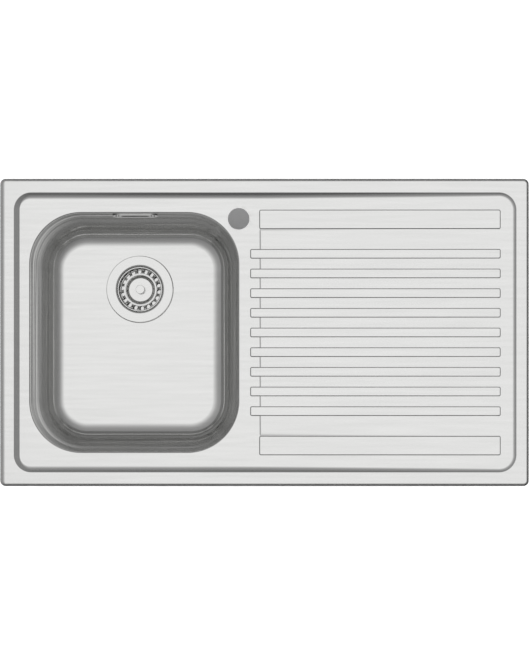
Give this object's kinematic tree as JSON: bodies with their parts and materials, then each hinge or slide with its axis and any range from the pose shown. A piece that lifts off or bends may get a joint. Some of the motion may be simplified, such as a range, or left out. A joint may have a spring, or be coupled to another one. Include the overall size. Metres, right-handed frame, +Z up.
{
  "type": "kitchen sink with drainboard",
  "caption": "Inset stainless steel kitchen sink with a rounded bowl, lift-out waste basket, overflow, ribbed drainboard and clamping clips under the rim.",
  "frame": {"origin": "centre of the outer rectangle, on the worktop's top face where the rim seal rests", "axes": "+X to the drainboard side, +Y to the tap side at the back, +Z up"},
  "size_m": [0.86, 0.5, 0.257],
  "materials": {
    "steel": "satin",
    "polished_steel": "polished",
    "zinc": "galvanised",
    "foam": "matte foam",
    "rubber": "matte",
    "damping": "matte",
    "plastic": "moulded",
    "hose": "moulded",
    "brass": "turned"
  },
  "bodies": {
    "sink": {"drainer_top": "steel", "bowl": "steel", "rim_seal": "foam", "bowl_sound_pad": "damping", "drainer_sound_pad": "damping", "clip_hangers": "zinc", "strainer_cup": "polished_steel", "flange_gasket": "rubber", "waste_gasket": "rubber", "waste_body": "plastic", "screw_insert": "brass", "waste_screw": "polished_steel", "overflow_plate": "polished_steel", "overflow_screws": "polished_steel", "overflow_gasket": "rubber", "overflow_body": "plastic", "overflow_hose": "hose", "overflow_nut_upper": "plastic", "overflow_nut_lower": "plastic", "hose_washers": "rubber"},
    "basket": {"basket_cup": "polished_steel", "basket_stopper": "rubber", "basket_stem": "polished_steel", "basket_knob": "polished_steel", "stem_retainer": "polished_steel"},
    "clip_screw_1": {"clip_screw_1": "zinc"},
    "clip_dog_1": {"clip_dog_1": "zinc"},
    "clip_screw_2": {"clip_screw_2": "zinc"},
    "clip_dog_2": {"clip_dog_2": "zinc"},
    "clip_screw_3": {"clip_screw_3": "zinc"},
    "clip_dog_3": {"clip_dog_3": "zinc"},
    "clip_screw_4": {"clip_screw_4": "zinc"},
    "clip_dog_4": {"clip_dog_4": "zinc"},
    "clip_screw_5": {"clip_screw_5": "zinc"},
    "clip_dog_5": {"clip_dog_5": "zinc"},
    "clip_screw_6": {"clip_screw_6": "zinc"},
    "clip_dog_6": {"clip_dog_6": "zinc"},
    "clip_screw_7": {"clip_screw_7": "zinc"},
    "clip_dog_7": {"clip_dog_7": "zinc"},
    "clip_screw_8": {"clip_screw_8": "zinc"},
    "clip_dog_8": {"clip_dog_8": "zinc"}
  },
  "joints": [
    {"name": "basket_lift", "type": "slide", "parent": "sink", "child": "basket", "axis": [0, 0, 1], "range_m": [0, 0.2]},
    {"name": "clip_swing_1", "type": "hinge", "parent": "sink", "child": "clip_screw_1", "pos_m": [-0.33, -0.20928, -0.01], "axis": [0, 0, 1], "range_deg": [0, 90]},
    {"name": "clip_lift_1", "type": "slide", "parent": "clip_screw_1", "child": "clip_dog_1", "axis": [0, 0, 1], "range_m": [0, 0.018]},
    {"name": "clip_swing_2", "type": "hinge", "parent": "sink", "child": "clip_screw_2", "pos_m": [0.06, -0.20928, -0.01], "axis": [0, 0, 1], "range_deg": [0, 90]},
    {"name": "clip_lift_2", "type": "slide", "parent": "clip_screw_2", "child": "clip_dog_2", "axis": [0, 0, 1], "range_m": [0, 0.018]},
    {"name": "clip_swing_3", "type": "hinge", "parent": "sink", "child": "clip_screw_3", "pos_m": [0.34, -0.20928, -0.01], "axis": [0, 0, 1], "range_deg": [0, 90]},
    {"name": "clip_lift_3", "type": "slide", "parent": "clip_screw_3", "child": "clip_dog_3", "axis": [0, 0, 1], "range_m": [0, 0.018]},
    {"name": "clip_swing_4", "type": "hinge", "parent": "sink", "child": "clip_screw_4", "pos_m": [-0.33, 0.20928, -0.01], "axis": [0, 0, 1], "range_deg": [0, 90]},
    {"name": "clip_lift_4", "type": "slide", "parent": "clip_screw_4", "child": "clip_dog_4", "axis": [0, 0, 1], "range_m": [0, 0.018]},
    {"name": "clip_swing_5", "type": "hinge", "parent": "sink", "child": "clip_screw_5", "pos_m": [0.06, 0.20928, -0.01], "axis": [0, 0, 1], "range_deg": [0, 90]},
    {"name": "clip_lift_5", "type": "slide", "parent": "clip_screw_5", "child": "clip_dog_5", "axis": [0, 0, 1], "range_m": [0, 0.018]},
    {"name": "clip_swing_6", "type": "hinge", "parent": "sink", "child": "clip_screw_6", "pos_m": [0.34, 0.20928, -0.01], "axis": [0, 0, 1], "range_deg": [0, 90]},
    {"name": "clip_lift_6", "type": "slide", "parent": "clip_screw_6", "child": "clip_dog_6", "axis": [0, 0, 1], "range_m": [0, 0.018]},
    {"name": "clip_swing_7", "type": "hinge", "parent": "sink", "child": "clip_screw_7", "pos_m": [-0.39128, 0, -0.01], "axis": [0, 0, 1], "range_deg": [0, 90]},
    {"name": "clip_lift_7", "type": "slide", "parent": "clip_screw_7", "child": "clip_dog_7", "axis": [0, 0, 1], "range_m": [0, 0.018]},
    {"name": "clip_swing_8", "type": "hinge", "parent": "sink", "child": "clip_screw_8", "pos_m": [0.39128, 0, -0.01], "axis": [0, 0, 1], "range_deg": [0, 90]},
    {"name": "clip_lift_8", "type": "slide", "parent": "clip_screw_8", "child": "clip_dog_8", "axis": [0, 0, 1], "range_m": [0, 0.018]}
  ]
}
